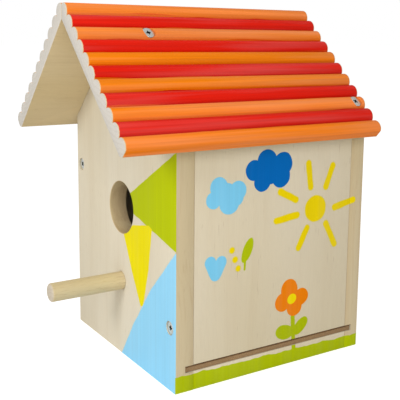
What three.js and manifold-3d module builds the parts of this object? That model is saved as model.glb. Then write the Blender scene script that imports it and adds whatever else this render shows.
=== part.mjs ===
// A wooden birdhouse: two gabled panels, two walls, a beaded roof, a perch and a floor that slides out.
// Millimetres. X runs across the front, Y from front to back, Z is up. The origin is on the ground,
// at the middle of the rectangle that the whole object covers.
import * as THREE from 'three';
import { mergeVertices } from 'three/addons/utils/BufferGeometryUtils.js';
import Module from 'manifold-3d';

const wasm = await Module();
wasm.setup();

// Body
const houseWidth = 120;
const houseDepth = 123;
const shoulderHeight = 129.5; // where each gable slope starts
const frontThickness = 10.5;
const backThickness = 9.5;
const wallThickness = 12;
const roofSlope = THREE.MathUtils.degToRad(43.3);

// Sliding floor, its slot and the rail below it
const railHeight = 9.8;
const floorThickness = 3;
const floorTopGap = 0.5;
const grooveDepth = 4.7; // into each panel, from its inner face
const stopDepth = 3; // into the left wall, which stops the floor
const floorSideGap = 0.4;
const floorRecess = 0.6; // from the right face to the floor's edge

// Roof
const roofBase = 5.5; // thickness at the bottom of the grooves between beads
const beadDepth = 3.4;
const beadCount = 11;
const lastBeadWidth = 8.4;
const lastBeadDrop = 3; // how far the last bead's rounding runs down the end face
const eaveOverhang = 8.8; // from the wall's face out to the eave's lower edge
const eaveCut = 3.5; // from the bead grooves down to the level cut under the eave
const frontOverhang = 33;
const backOverhang = 0.5;
const beadSegments = 10;

// Entry hole and perch
const holeDiameter = 29;
const holeHeight = 84.5;
const holeSegments = 48;
const perchDiameter = 10;
const perchReach = 42.5; // from the front face to the tip
const perchHeight = 42.8;
const perchSocket = 7; // depth of its blind hole
const perchChamfer = 1.2;
const perchSegments = 32;

// Countersunk screws
const headDiameter = 7;
const headSink = 0.7; // head top below a flat face
const roofHeadSink = 1.5; // head top below a bead's crest
const headRim = 0.5;
const shankDiameter = 3.4;
const panelScrewLength = 30;
const roofScrewLength = 28;
const tipLength = 4;
const recessWidth = 1.2;
const recessSpan = 4.2;
const recessDepth = 1.6;
const screwSegments = 16;
const upperScrewHeight = 101;
const lowerScrewHeight = 33;
const ridgeScrewBead = 3;
const eaveScrewBead = 9;

// Gaps
const seatGap = 0.2; // between pieces that rest on each other on a slope
const glueGap = 0.1; // between pieces glued or screwed face to face
const drillGap = 0.2; // round a dowel or a screw
const cutPast = 5; // how far a cutting tool runs past a face
const weldReach = 1e-4; // vertices closer than this are one

const halfWidth = houseWidth / 2;
const frontY = -houseDepth / 2;
const backY = houseDepth / 2;
const frontInnerY = frontY + frontThickness;
const backInnerY = backY - backThickness;
const wallInnerX = halfWidth - wallThickness;
const floorBottom = railHeight + glueGap;
const floorTop = floorBottom + floorThickness;
const slotTop = floorTop + floorTopGap;
const gableApex = shoulderHeight + halfWidth * Math.tan(roofSlope);
const ridgeHeight = gableApex + (roofBase + seatGap) / Math.cos(roofSlope);
const roofFrontY = frontY - frontOverhang;
const roofBackY = backY + backOverhang;
const eaveEdge = halfWidth + eaveOverhang + eaveCut * Math.sin(roofSlope);
const boardLength = eaveEdge / Math.cos(roofSlope);
const beadPitch = (boardLength - lastBeadWidth) / (beadCount - 1);
const bodyCentreY = (perchReach - backOverhang) / 2;

const pine = { color: 0xd8cbb0, roughness: 0.75, metalness: 0 };
const paintedPine = { color: 0xe5642a, roughness: 0.55, metalness: 0 };
const hardboard = { color: 0x9c7a58, roughness: 0.8, metalness: 0 };
const dowelWood = { color: 0xcbb386, roughness: 0.65, metalness: 0 };
const steel = { color: 0xc4c8cb, roughness: 0.3, metalness: 1 };

function toSolid(geometry) {
  const bare = geometry.clone();
  bare.deleteAttribute('normal');
  bare.deleteAttribute('uv');
  const merged = mergeVertices(bare, weldReach);
  const mesh = new wasm.Mesh({
    numProp: 3,
    vertProperties: new Float32Array(merged.attributes.position.array),
    triVerts: new Uint32Array(merged.index.array),
  });
  return new wasm.Manifold(mesh);
}

function toGeometry(solid) {
  const mesh = solid.getMesh();
  const geometry = new THREE.BufferGeometry();
  geometry.setAttribute('position', new THREE.BufferAttribute(new Float32Array(mesh.vertProperties), 3));
  geometry.setIndex(new THREE.BufferAttribute(new Uint32Array(mesh.triVerts), 1));
  const flat = geometry.toNonIndexed();
  flat.computeVertexNormals();
  return flat;
}

function cut(geometry, tools) {
  return toGeometry(tools.reduce((solid, tool) => solid.subtract(toSolid(tool)), toSolid(geometry)));
}

// A box between two corners.
function block(low, high) {
  const geometry = new THREE.BoxGeometry(high[0] - low[0], high[1] - low[1], high[2] - low[2]);
  geometry.translate((low[0] + high[0]) / 2, (low[1] + high[1]) / 2, (low[2] + high[2]) / 2);
  return geometry;
}

// A prism whose outline is drawn in X and Z, running back from one Y to another.
function prism(outline, nearY, farY, segments = beadSegments) {
  const geometry = new THREE.ExtrudeGeometry(outline, {
    depth: farY - nearY,
    bevelEnabled: false,
    curveSegments: segments,
  });
  geometry.rotateX(Math.PI / 2);
  geometry.translate(0, farY, 0);
  return geometry;
}

// A turned piece: its profile lists [radius, height], and its axis leaves origin along direction.
function turned(profile, origin, direction, segments) {
  const points = profile.map(([radius, height]) => new THREE.Vector2(radius, height));
  const geometry = new THREE.LatheGeometry(points, segments);
  geometry.applyQuaternion(new THREE.Quaternion().setFromUnitVectors(new THREE.Vector3(0, 1, 0), direction));
  geometry.translate(origin.x, origin.y, origin.z);
  return geometry;
}

function gableHeight(x) {
  return gableApex - Math.abs(x) * Math.tan(roofSlope);
}

// A point on a roof board's section: along the slope from the ridge, and out from the bead grooves.
function slopePoint(side, along, out) {
  const x = along * Math.cos(roofSlope) + out * Math.sin(roofSlope);
  const z = ridgeHeight - along * Math.sin(roofSlope) + out * Math.cos(roofSlope);
  return new THREE.Vector2(side * x, z);
}

function slopeNormal(side) {
  return new THREE.Vector3(side * Math.sin(roofSlope), 0, Math.cos(roofSlope));
}

function beadCrest(bead) {
  return (bead - 0.5) * beadPitch;
}

// Screws: where each head sits, which way it points out, and how far it goes in.
function panelScrew(x, y, z, outward) {
  const head = new THREE.Vector3(x, y - outward * headSink, z);
  return { head, outward: new THREE.Vector3(0, outward, 0), length: panelScrewLength };
}

function roofScrew(side, bead, y) {
  const crest = slopePoint(side, beadCrest(bead), beadDepth - roofHeadSink);
  const head = new THREE.Vector3(crest.x, y, crest.y);
  return { head, outward: slopeNormal(side), length: roofScrewLength };
}

const screwX = halfWidth - wallThickness / 2;
const frontRoofScrewY = frontY + 0.75 * frontThickness; // nearer the panel's inner face
const backMiddleY = backY - backThickness / 2;
const screws = {
  front_screw_left_wall: panelScrew(-screwX, frontY, upperScrewHeight, -1),
  front_screw_right_wall: panelScrew(screwX, frontY, lowerScrewHeight, -1),
  back_screw_left_wall: panelScrew(-screwX, backY, lowerScrewHeight, 1),
  back_screw_right_wall: panelScrew(screwX, backY, upperScrewHeight, 1),
  right_roof_screw_front: roofScrew(1, ridgeScrewBead, frontRoofScrewY),
  right_roof_screw_back: roofScrew(1, eaveScrewBead, backMiddleY),
  left_roof_screw_front: roofScrew(-1, eaveScrewBead, frontRoofScrewY),
  left_roof_screw_back: roofScrew(-1, ridgeScrewBead, backMiddleY),
};

function screwGeometry({ head, outward, length }) {
  const headRadius = headDiameter / 2;
  const shankRadius = shankDiameter / 2;
  const coneDepth = headRadius - shankRadius;
  const profile = [
    [0, -length],
    [shankRadius, tipLength - length],
    [shankRadius, -headRim - coneDepth],
    [headRadius, -headRim],
    [headRadius, 0],
    [0, 0],
  ];
  const body = turned(profile, head, outward, screwSegments);
  const turn = new THREE.Quaternion().setFromUnitVectors(new THREE.Vector3(0, 0, 1), outward);
  const slots = [0, Math.PI / 2].map((angle) => {
    const slot = new THREE.BoxGeometry(recessSpan, recessWidth, 2 * recessDepth);
    slot.rotateZ(angle + Math.PI / 4);
    slot.applyQuaternion(turn);
    return slot.translate(head.x, head.y, head.z);
  });
  return cut(body, slots);
}

// The hole that a screw needs: shank, countersink, and clear above the head.
function screwHole({ head, outward, length }) {
  const headRadius = headDiameter / 2 + drillGap;
  const shankRadius = shankDiameter / 2 + drillGap;
  const coneDepth = headRadius - shankRadius;
  const profile = [
    [0, -length - drillGap],
    [shankRadius, tipLength - length - drillGap],
    [shankRadius, -headRim - coneDepth - drillGap],
    [headRadius, -headRim - drillGap],
    [headRadius, cutPast],
    [0, cutPast],
  ];
  return turned(profile, head, outward, screwSegments);
}

function holesFor(...names) {
  return names.map((name) => screwHole(screws[name]));
}

function gableOutline() {
  return new THREE.Shape([
    new THREE.Vector2(-halfWidth, 0),
    new THREE.Vector2(halfWidth, 0),
    new THREE.Vector2(halfWidth, shoulderHeight),
    new THREE.Vector2(0, gableApex),
    new THREE.Vector2(-halfWidth, shoulderHeight),
  ]);
}

// The groove that the floor runs in, open at the right edge of a panel.
function floorGroove(nearY, farY) {
  return block([-wallInnerX - stopDepth, nearY, railHeight], [halfWidth + cutPast, farY, slotTop]);
}

function frontPanel() {
  const outline = gableOutline();
  const hole = new THREE.Path();
  hole.absarc(0, holeHeight, holeDiameter / 2, 0, 2 * Math.PI, true);
  outline.holes.push(hole);
  const socketBottom = new THREE.Vector3(0, frontY + perchSocket + drillGap, perchHeight);
  const socketRadius = perchDiameter / 2 + drillGap;
  const socketLength = perchSocket + drillGap + cutPast;
  const socket = [
    [0, 0],
    [socketRadius, 0],
    [socketRadius, socketLength],
    [0, socketLength],
  ];
  return cut(prism(outline, frontY, frontInnerY, holeSegments), [
    floorGroove(frontInnerY - grooveDepth, frontInnerY + cutPast),
    turned(socket, socketBottom, new THREE.Vector3(0, -1, 0), perchSegments),
    ...holesFor('front_screw_left_wall', 'front_screw_right_wall'),
    ...holesFor('right_roof_screw_front', 'left_roof_screw_front'),
  ]);
}

function backPanel() {
  return cut(prism(gableOutline(), backInnerY, backY), [
    floorGroove(backInnerY - cutPast, backInnerY + grooveDepth),
    ...holesFor('back_screw_left_wall', 'back_screw_right_wall'),
    ...holesFor('right_roof_screw_back', 'left_roof_screw_back'),
  ]);
}

// A wall between the panels, its top planed to the roof's slope.
function wall(side, bottom) {
  const outline = new THREE.Shape([
    new THREE.Vector2(side * wallInnerX, bottom),
    new THREE.Vector2(side * halfWidth, bottom),
    new THREE.Vector2(side * halfWidth, shoulderHeight),
    new THREE.Vector2(side * wallInnerX, gableHeight(wallInnerX)),
  ]);
  return prism(outline, frontInnerY + glueGap, backInnerY - glueGap);
}

function leftWall() {
  return cut(wall(-1, 0), [
    block([-wallInnerX - stopDepth, frontY, railHeight], [-wallInnerX + cutPast, backY, slotTop]),
    ...holesFor('front_screw_left_wall', 'back_screw_left_wall'),
  ]);
}

function rightWall() {
  return cut(wall(1, slotTop), holesFor('front_screw_right_wall', 'back_screw_right_wall'));
}

function rightRail() {
  return block([wallInnerX, frontInnerY + glueGap, 0], [halfWidth, backInnerY - glueGap, railHeight]);
}

function slidingFloor() {
  const low = [
    -wallInnerX - stopDepth + floorSideGap,
    frontInnerY - grooveDepth + floorSideGap,
    floorBottom,
  ];
  const high = [
    halfWidth - floorRecess,
    backInnerY + grooveDepth - floorSideGap,
    floorTop,
  ];
  return block(low, high);
}

// A roof board's section: from the underside at the ridge, over the beads, to the cut at the eave.
function boardOutline(side) {
  const radius = (beadPitch ** 2 / 4 + beadDepth ** 2) / (2 * beadDepth);
  const sweep = Math.asin(beadPitch / 2 / radius);
  const mitreGap = seatGap / 2 / Math.cos(roofSlope);
  const underMitre = roofBase * Math.tan(roofSlope) + mitreGap;
  const points = [slopePoint(side, underMitre, -roofBase), slopePoint(side, mitreGap, 0)];
  for (let bead = 1; bead < beadCount; bead += 1) {
    for (let step = 1; step <= beadSegments; step += 1) {
      const angle = sweep * ((2 * step) / beadSegments - 1);
      const out = radius * Math.cos(angle) - radius + beadDepth;
      points.push(slopePoint(side, beadCrest(bead) + radius * Math.sin(angle), out));
    }
  }
  const lastCrest = beadCrest(beadCount);
  const lastHalf = boardLength - lastCrest;
  for (let step = 1; step <= beadSegments / 2; step += 1) {
    const angle = sweep * ((2 * step) / beadSegments - 1);
    const out = radius * Math.cos(angle) - radius + beadDepth;
    points.push(slopePoint(side, lastCrest + radius * Math.sin(angle), out));
  }
  for (let step = 1; step <= beadSegments; step += 1) {
    const angle = (Math.PI / 2) * (step / beadSegments);
    const out = beadDepth - lastBeadDrop * (1 - Math.cos(angle));
    points.push(slopePoint(side, lastCrest + lastHalf * Math.sin(angle), out));
  }
  points.push(slopePoint(side, boardLength, -eaveCut));
  const levelRun = (roofBase - eaveCut) / Math.tan(roofSlope);
  points.push(slopePoint(side, boardLength - levelRun, -roofBase));
  return new THREE.Shape(points);
}

function roofBoard(side, ...screwNames) {
  return cut(prism(boardOutline(side), roofFrontY, roofBackY), holesFor(...screwNames));
}

function perch() {
  const foot = new THREE.Vector3(0, frontY + perchSocket, perchHeight);
  const radius = perchDiameter / 2;
  const length = perchSocket + perchReach;
  const profile = [
    [0, 0],
    [radius, 0],
    [radius, length - perchChamfer],
    [radius - perchChamfer, length],
    [0, length],
  ];
  return turned(profile, foot, new THREE.Vector3(0, -1, 0), perchSegments);
}

const house = new THREE.Group();
house.position.y = bodyCentreY;

function place(name, geometry, finish) {
  const mesh = new THREE.Mesh(geometry, new THREE.MeshStandardMaterial(finish));
  mesh.name = name;
  house.add(mesh);
}

place('front_panel', frontPanel(), pine);
place('back_panel', backPanel(), pine);
place('left_wall', leftWall(), pine);
place('right_wall', rightWall(), pine);
place('right_base_rail', rightRail(), pine);
place('sliding_floor', slidingFloor(), hardboard);
place('left_roof_board', roofBoard(-1, 'left_roof_screw_front', 'left_roof_screw_back'), paintedPine);
place('right_roof_board', roofBoard(1, 'right_roof_screw_front', 'right_roof_screw_back'), paintedPine);
place('perch', perch(), dowelWood);
for (const [name, screw] of Object.entries(screws)) {
  place(name, screwGeometry(screw), steel);
}

const group = new THREE.Group();
group.add(house);

export default group;
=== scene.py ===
from math import asin, atan2, cos, hypot, pi, radians, sin, tan

import bmesh
import bpy
from mathutils import Matrix, Quaternion, Vector


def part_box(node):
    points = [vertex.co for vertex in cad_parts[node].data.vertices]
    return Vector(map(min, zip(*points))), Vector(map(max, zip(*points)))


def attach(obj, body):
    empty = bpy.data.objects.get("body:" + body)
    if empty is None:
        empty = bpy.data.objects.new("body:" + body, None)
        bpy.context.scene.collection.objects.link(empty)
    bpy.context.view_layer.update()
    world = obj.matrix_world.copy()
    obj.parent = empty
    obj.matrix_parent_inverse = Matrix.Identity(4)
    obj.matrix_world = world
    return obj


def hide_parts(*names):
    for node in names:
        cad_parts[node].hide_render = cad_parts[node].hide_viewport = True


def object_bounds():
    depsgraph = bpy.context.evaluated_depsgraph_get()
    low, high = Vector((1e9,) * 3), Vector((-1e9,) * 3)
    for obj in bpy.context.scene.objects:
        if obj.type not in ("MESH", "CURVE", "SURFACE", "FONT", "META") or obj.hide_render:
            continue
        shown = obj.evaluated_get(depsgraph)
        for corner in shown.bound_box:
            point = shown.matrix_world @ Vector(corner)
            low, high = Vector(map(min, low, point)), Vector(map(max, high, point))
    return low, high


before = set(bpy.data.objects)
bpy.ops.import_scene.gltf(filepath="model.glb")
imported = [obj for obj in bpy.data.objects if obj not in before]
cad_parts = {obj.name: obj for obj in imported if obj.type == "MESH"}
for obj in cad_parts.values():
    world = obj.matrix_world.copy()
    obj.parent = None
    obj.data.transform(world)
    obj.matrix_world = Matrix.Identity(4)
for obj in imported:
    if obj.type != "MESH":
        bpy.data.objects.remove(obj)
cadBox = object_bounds()
mm = 0.001
print("frame loaded:", len(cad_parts), "parts")

# Places that everything else is worked out from
frontLow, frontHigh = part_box("front_panel")
backLow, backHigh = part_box("back_panel")
wallLow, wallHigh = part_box("right_wall")
leftLow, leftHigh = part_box("left_wall")
railLow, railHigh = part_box("right_base_rail")
floorLow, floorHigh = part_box("sliding_floor")
roofLow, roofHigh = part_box("right_roof_board")
halfWidth = frontHigh.x
gableApex = frontHigh.z
slope = atan2(gableApex - wallHigh.z, wallLow.x)  # each roof board leans this far from level
shoulder = gableApex - halfWidth * tan(slope)


def leaveAll():
    if bpy.context.mode != "OBJECT":
        bpy.ops.object.mode_set(mode="OBJECT")
    bpy.ops.object.select_all(action="DESELECT")


def takeUp(piece):
    leaveAll()
    piece.select_set(True)
    bpy.context.view_layer.objects.active = piece


def nameIt(name):
    piece = bpy.context.object
    piece.name = name
    piece.data.name = name
    return piece


def settle(piece):
    takeUp(piece)
    bpy.ops.object.transform_apply(location=True, rotation=True, scale=True)
    return piece


def openUp(piece):
    takeUp(piece)
    bpy.ops.object.mode_set(mode="EDIT")


# Selects what passes the test, in edit mode. Kind is VERT, EDGE or FACE.
def pick(piece, kind, test):
    bpy.context.tool_settings.mesh_select_mode = (kind == "VERT", kind == "EDGE", kind == "FACE")
    bpy.ops.mesh.select_all(action="DESELECT")
    mesh = bmesh.from_edit_mesh(piece.data)
    groups = {"VERT": mesh.verts, "EDGE": mesh.edges, "FACE": mesh.faces}
    for item in groups[kind]:
        if test(item):
            item.select_set(True)
    mesh.select_flush_mode()
    bmesh.update_edit_mesh(piece.data)


def ends(edge):
    return edge.verts[0].co, edge.verts[1].co


def middle(edge):
    return (edge.verts[0].co + edge.verts[1].co) / 2


def near(a, b, reach=0.02 * mm):
    return abs(a - b) < reach


def liesAt(edge, axis, place):
    return all(near(end[axis], place) for end in ends(edge))


def smoothOver(piece, angle=35):
    takeUp(piece)
    bpy.ops.object.shade_smooth_by_angle(angle=radians(angle))
    return piece


def faceOut(piece):
    openUp(piece)
    bpy.ops.mesh.select_all(action="SELECT")
    bpy.ops.mesh.normals_make_consistent(inside=False)
    leaveAll()
    return piece


def carve(piece, cutter):
    takeUp(piece)
    bpy.ops.object.modifier_add(type="BOOLEAN")
    modifier = piece.modifiers[-1]
    modifier.operation = "DIFFERENCE"
    modifier.solver = "EXACT"
    modifier.object = cutter
    bpy.ops.object.modifier_apply(modifier=modifier.name)
    bpy.data.objects.remove(cutter)
    return piece


def twinOf(piece, name):
    takeUp(piece)
    bpy.ops.object.duplicate(linked=False)
    return nameIt(name)


def block(name, low, high):
    leaveAll()
    bpy.ops.mesh.primitive_cube_add(size=1, location=(low + high) / 2, scale=high - low)
    return settle(nameIt(name))


# A turned rod that stands on +Z: a disc pulled through sections of (radius, height).
def rod(name, sections, facets):
    leaveAll()
    radius, height = sections[0]
    bpy.ops.mesh.primitive_circle_add(vertices=facets, radius=radius, fill_type="NGON",
                                      location=(0, 0, height))
    piece = settle(nameIt(name))
    openUp(piece)
    bpy.ops.mesh.select_all(action="SELECT")
    for nextRadius, nextHeight in sections[1:]:
        rise = {"value": (0, 0, nextHeight - height)}
        bpy.ops.mesh.extrude_region_move(TRANSFORM_OT_translate=rise)
        ratio = nextRadius / radius
        bpy.ops.transform.resize(value=(ratio, ratio, 1), center_override=(0, 0, nextHeight))
        radius, height = nextRadius, nextHeight
    return faceOut(piece)


# Stands a piece made on +Z at a spot, with its axis along a direction.
def stand(piece, spot, direction, turn=0):
    aim = direction.to_track_quat("Z", "Y") @ Quaternion((0, 0, 1), turn)
    piece.matrix_world = Matrix.Translation(spot) @ aim.to_matrix().to_4x4()
    return settle(piece)


screwForm = {
    "headRadius": 3.5 * mm,
    "shankRadius": 1.7 * mm,
    "headRim": 0.5 * mm,
    "headEdge": 0.12 * mm,  # rounding at the top of the rim
    "tipLength": 4 * mm,
    "panelLength": 30 * mm,
    "roofLength": 28 * mm,
    "panelSink": 0.7 * mm,  # top of the head below a flat board
    "roofSink": 1.5 * mm,  # and below the crest of a bead
    "crossSpan": 4.2 * mm,
    "crossWidth": 1.2 * mm,
    "crossDepth": 1.9 * mm,
    "recessFoot": (0.3, 0.6, 1),  # how far each arm of the cross narrows at its foot
    "tipShare": 0.1,  # the point's radius over the shank's
    "facets": 40,
    "clearance": 0.2 * mm,
    "boreReach": 5 * mm,  # how far a bore stays open above the head
    "high": 101 * mm,
    "low": 33 * mm,
    "frontShare": 0.75,  # of the front panel's thickness, in from its face, where a roof screw enters
    "turnStep": 37,  # degrees, so that no two crosses line up
}

roofForm = {
    "base": 5.5 * mm,  # board thickness at the bottom of the grooves
    "seatGap": 0.2 * mm,
    "beadDepth": 3.4 * mm,
    "beadCount": 11,
    "beadSteps": 14,
    "firstSweep": 0.9,  # share of the first bead's near side left above the mitre
    "mitreRub": (0.3 * mm, 0.25 * mm),  # the sharp top corner of the mitre is rubbed off
    "lastBeadWidth": 8.4 * mm,
    "lastBeadDrop": 3 * mm,
    "eaveReach": 8.8 * mm,  # from the wall out to the eave's lower edge
    "eaveCut": 3.5 * mm,  # from the grooves down to the level cut
    "rimEase": 0.3 * mm,
    "ridgeScrewBead": 3,
    "eaveScrewBead": 9,
}

ridgeHeight = gableApex + (roofForm["base"] + roofForm["seatGap"]) / cos(slope)
boardLength = (halfWidth + roofForm["eaveReach"] + roofForm["eaveCut"] * sin(slope)) / cos(slope)
beadPitch = (boardLength - roofForm["lastBeadWidth"]) / (roofForm["beadCount"] - 1)


# A point of the right roof board's section: along the slope from the ridge, and out from the grooves.
def slopePoint(along, out, y=0.0):
    x = along * cos(slope) + out * sin(slope)
    z = ridgeHeight - along * sin(slope) + out * cos(slope)
    return Vector((x, y, z))


def beadCrest(bead):
    return (bead - 0.5) * beadPitch


def panelScrew(x, z, face, outward):
    spot = Vector((x, face - outward * screwForm["panelSink"], z))
    return spot, Vector((0, outward, 0)), screwForm["panelLength"]


def roofScrew(side, bead, y):
    spot = slopePoint(beadCrest(bead), roofForm["beadDepth"] - screwForm["roofSink"], y)
    spot.x *= side
    return spot, Vector((side * sin(slope), 0, cos(slope))), screwForm["roofLength"]


screwX = (wallLow.x + wallHigh.x) / 2
highScrew, lowScrew = screwForm["high"], screwForm["low"]
backMiddle = (backLow.y + backHigh.y) / 2
frontRoofScrewY = frontLow.y + screwForm["frontShare"] * (frontHigh.y - frontLow.y)
ridgeBead, eaveBead = roofForm["ridgeScrewBead"], roofForm["eaveScrewBead"]
screws = {
    "front_screw_left_wall": panelScrew(-screwX, highScrew, frontLow.y, -1),
    "front_screw_right_wall": panelScrew(screwX, lowScrew, frontLow.y, -1),
    "back_screw_left_wall": panelScrew(-screwX, lowScrew, backHigh.y, 1),
    "back_screw_right_wall": panelScrew(screwX, highScrew, backHigh.y, 1),
    "right_roof_screw_front": roofScrew(1, ridgeBead, frontRoofScrewY),
    "right_roof_screw_back": roofScrew(1, eaveBead, backMiddle),
    "left_roof_screw_front": roofScrew(-1, eaveBead, frontRoofScrewY),
    "left_roof_screw_back": roofScrew(-1, ridgeBead, backMiddle),
}


# The countersunk hole for one screw, open above its head.
def screwBore(name):
    spot, outward, length = screws[name]
    gap = screwForm["clearance"]
    headRadius = screwForm["headRadius"] + gap
    shankRadius = screwForm["shankRadius"] + gap
    coneFoot = -screwForm["headRim"] - screwForm["headRadius"] + screwForm["shankRadius"] - gap
    sections = [
        (headRadius, screwForm["boreReach"]),
        (headRadius, -screwForm["headRim"] - gap),
        (shankRadius, coneFoot),
        (shankRadius, -length - gap),
    ]
    return stand(rod("bore", sections, screwForm["facets"]), spot, outward)


def bore(piece, *names):
    for name in names:
        carve(piece, screwBore(name))
    return piece


# One arm of the cross recess, narrower at its foot.
def recessArm(turn):
    reach = Vector((screwForm["crossSpan"] / 2, screwForm["crossWidth"] / 2, 0))
    depth = Vector((0, 0, screwForm["crossDepth"]))
    arm = block("recess_arm", -reach - depth, reach + depth)
    openUp(arm)
    pick(arm, "FACE", lambda face: face.normal.z < -0.9)
    bpy.ops.transform.resize(value=screwForm["recessFoot"], center_override=(0, 0, -depth.z))
    leaveAll()
    return stand(arm, Vector((0, 0, 0)), Vector((0, 0, 1)), turn)


def modelScrew(length):
    form = screwForm
    coneFoot = -form["headRim"] - form["headRadius"] + form["shankRadius"]
    sections = [
        (form["headRadius"] - form["headEdge"], 0),
        (form["headRadius"], -form["headEdge"]),
        (form["headRadius"], -form["headRim"]),
        (form["shankRadius"], coneFoot),
        (form["shankRadius"], form["tipLength"] - length),
        (form["tipShare"] * form["shankRadius"], -length),
    ]
    screw = rod("screw", sections, form["facets"])
    for turn in (pi / 4, 3 * pi / 4):
        carve(screw, recessArm(turn))
    smoothOver(screw, 30)
    screw.data.materials.append(None)  # bright zinc, filled in once the finishes are made
    screw.data.materials.append(None)  # and the recess, its zinc painted dark as shade
    skin = 0.02 * mm
    # Faces inside the cross recess take the dark zinc: painted shade in the recess
    for face in screw.data.polygons:
        nearAxis = hypot(face.center.x, face.center.y) < form["crossSpan"] / 2
        face.material_index = int(nearAxis and -form["crossDepth"] - skin < face.center.z < -skin)
    return screw


def makeScrews():
    patterns = {}
    pieces = {}
    for index, (name, (spot, outward, length)) in enumerate(screws.items()):
        if length not in patterns:
            patterns[length] = modelScrew(length)
        turn = radians(screwForm["turnStep"] * index)
        pieces[name] = stand(twinOf(patterns[length], name), spot, outward, turn)
    for pattern in patterns.values():
        bpy.data.objects.remove(pattern)
    return pieces


boardForm = {
    "ease": 0.45 * mm,  # rounding along the boards' edges
    "jointEase": 0.2 * mm,  # smaller where two boards meet flush
    "groove": 4.7 * mm,  # floor groove into each panel
    "stop": 3 * mm,  # and into the left wall
    "slotGap": 0.5 * mm,
    "holeRadius": 14.5 * mm,
    "holeHeight": 84.5 * mm,
    "holeEase": 0.5 * mm,
    "holeFacets": 96,
    "floorEase": 0.3 * mm,
    "socketDepth": 7.2 * mm,
    "past": 5 * mm,  # how far a cutter runs past a face
}

perchForm = {
    "radius": 5 * mm,
    "height": 42.8 * mm,
    "rounding": 1.3 * mm,
    "roundingSteps": 5,
    "crownInset": 0.8 * mm,  # the end is sanded very slightly crowned
    "crownRise": 0.12 * mm,
    "facets": 56,
    "clearance": 0.2 * mm,
}

slotTop = floorHigh.z + boardForm["slotGap"]
past = boardForm["past"]


def easeEdges(piece, width, test, steps=2):
    openUp(piece)
    pick(piece, "EDGE", test)
    bpy.ops.mesh.bevel(offset=width, segments=steps, profile=0.5, affect="EDGES")
    leaveAll()
    return piece


def gablePanel(name, low, high):
    panel = block(name, low, Vector((high.x, high.y, shoulder)))
    openUp(panel)
    bpy.ops.mesh.select_all(action="SELECT")
    bpy.ops.mesh.bisect(plane_co=(0, 0, 0), plane_no=(1, 0, 0))
    pick(panel, "VERT", lambda vert: near(vert.co.x, 0) and vert.co.z > shoulder / 2)
    bpy.ops.transform.translate(value=(0, 0, gableApex - shoulder))
    leaveAll()
    return panel


def uprightCorner(edge):
    a, b = ends(edge)
    return near(a.x, b.x) and near(a.y, b.y) and abs(a.x) > halfWidth / 2


# Rounds a panel's upright corners: more on the outer face than on the one against the walls.
def easeCorners(panel, outerY, innerY):
    easeEdges(panel, boardForm["ease"], lambda edge: uprightCorner(edge) and liesAt(edge, 1, outerY))
    easeEdges(panel, boardForm["jointEase"], lambda edge: uprightCorner(edge) and liesAt(edge, 1, innerY))


def roundHole(edge):
    rim = boardForm["holeRadius"] + 0.1 * mm
    a, b = ends(edge)
    return near(a.y, b.y) and all(hypot(end.x, end.z - boardForm["holeHeight"]) < rim for end in (a, b))


# The groove that the floor slides in, from beside the left wall out through the right edge.
def floorGroove(nearY, farY):
    low = Vector((-wallLow.x - boardForm["stop"], nearY, railHigh.z))
    return block("groove", low, Vector((halfWidth + past, farY, slotTop)))


def makeFrontPanel():
    panel = gablePanel("front_board", frontLow, frontHigh)
    easeCorners(panel, frontLow.y, frontHigh.y)
    thickness = frontHigh.y - frontLow.y
    holeSections = [(boardForm["holeRadius"], -past), (boardForm["holeRadius"], thickness + past)]
    hole = rod("hole", holeSections, boardForm["holeFacets"])
    holeSpot = Vector((0, frontLow.y, boardForm["holeHeight"]))
    carve(panel, stand(hole, holeSpot, Vector((0, 1, 0))))
    easeEdges(panel, boardForm["holeEase"], roundHole, 3)
    grooveY = frontHigh.y - boardForm["groove"]
    carve(panel, floorGroove(grooveY, frontHigh.y + past))
    socketRadius = perchForm["radius"] + perchForm["clearance"]
    socket = rod("socket", [(socketRadius, 0), (socketRadius, boardForm["socketDepth"] + past)],
                 perchForm["facets"])
    socketSpot = Vector((0, frontLow.y + boardForm["socketDepth"], perchForm["height"]))
    carve(panel, stand(socket, socketSpot, Vector((0, -1, 0))))
    bore(panel, "front_screw_left_wall", "front_screw_right_wall")
    bore(panel, "right_roof_screw_front", "left_roof_screw_front")
    return smoothOver(panel)


def makeBackPanel():
    panel = gablePanel("back_board", backLow, backHigh)
    easeCorners(panel, backHigh.y, backLow.y)
    carve(panel, floorGroove(backLow.y - past, backLow.y + boardForm["groove"]))
    bore(panel, "back_screw_left_wall", "back_screw_right_wall")
    bore(panel, "right_roof_screw_back", "left_roof_screw_back")
    return smoothOver(panel)


# A wall whose top is planed to the roof's slope: its inner top edge is lifted.
def slopedWall(name, low, high):
    wall = block(name, low, Vector((high.x, high.y, shoulder)))
    openUp(wall)
    pick(wall, "VERT", lambda vert: vert.co.z > shoulder / 2 and abs(vert.co.x) < screwX)
    bpy.ops.transform.translate(value=(0, 0, high.z - shoulder))
    leaveAll()
    return wall


def outerEdge(edge):
    return all(near(abs(end.x), halfWidth) for end in ends(edge)) and middle(edge).z < shoulder - mm


def makeRightWall():
    wall = slopedWall("right_board", wallLow, wallHigh)
    easeEdges(wall, boardForm["jointEase"], outerEdge)
    bore(wall, "front_screw_right_wall", "back_screw_right_wall")
    return smoothOver(wall)


def makeLeftWall():
    wall = slopedWall("left_board", leftLow, leftHigh)
    easeEdges(wall, boardForm["jointEase"], outerEdge)
    low = Vector((-wallLow.x - boardForm["stop"], leftLow.y - past, railHigh.z))
    high = Vector((-wallLow.x + past, leftHigh.y + past, slotTop))
    carve(wall, block("groove", low, high))
    bore(wall, "front_screw_left_wall", "back_screw_left_wall")
    return smoothOver(wall)


def makeRail():
    rail = block("rail_board", railLow, railHigh)
    easeEdges(rail, boardForm["jointEase"], outerEdge)
    return smoothOver(rail)


def makeFloor():
    board = block("floor_board", floorLow, floorHigh)
    easeEdges(board, boardForm["floorEase"], lambda edge: True)
    return smoothOver(board)


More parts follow.
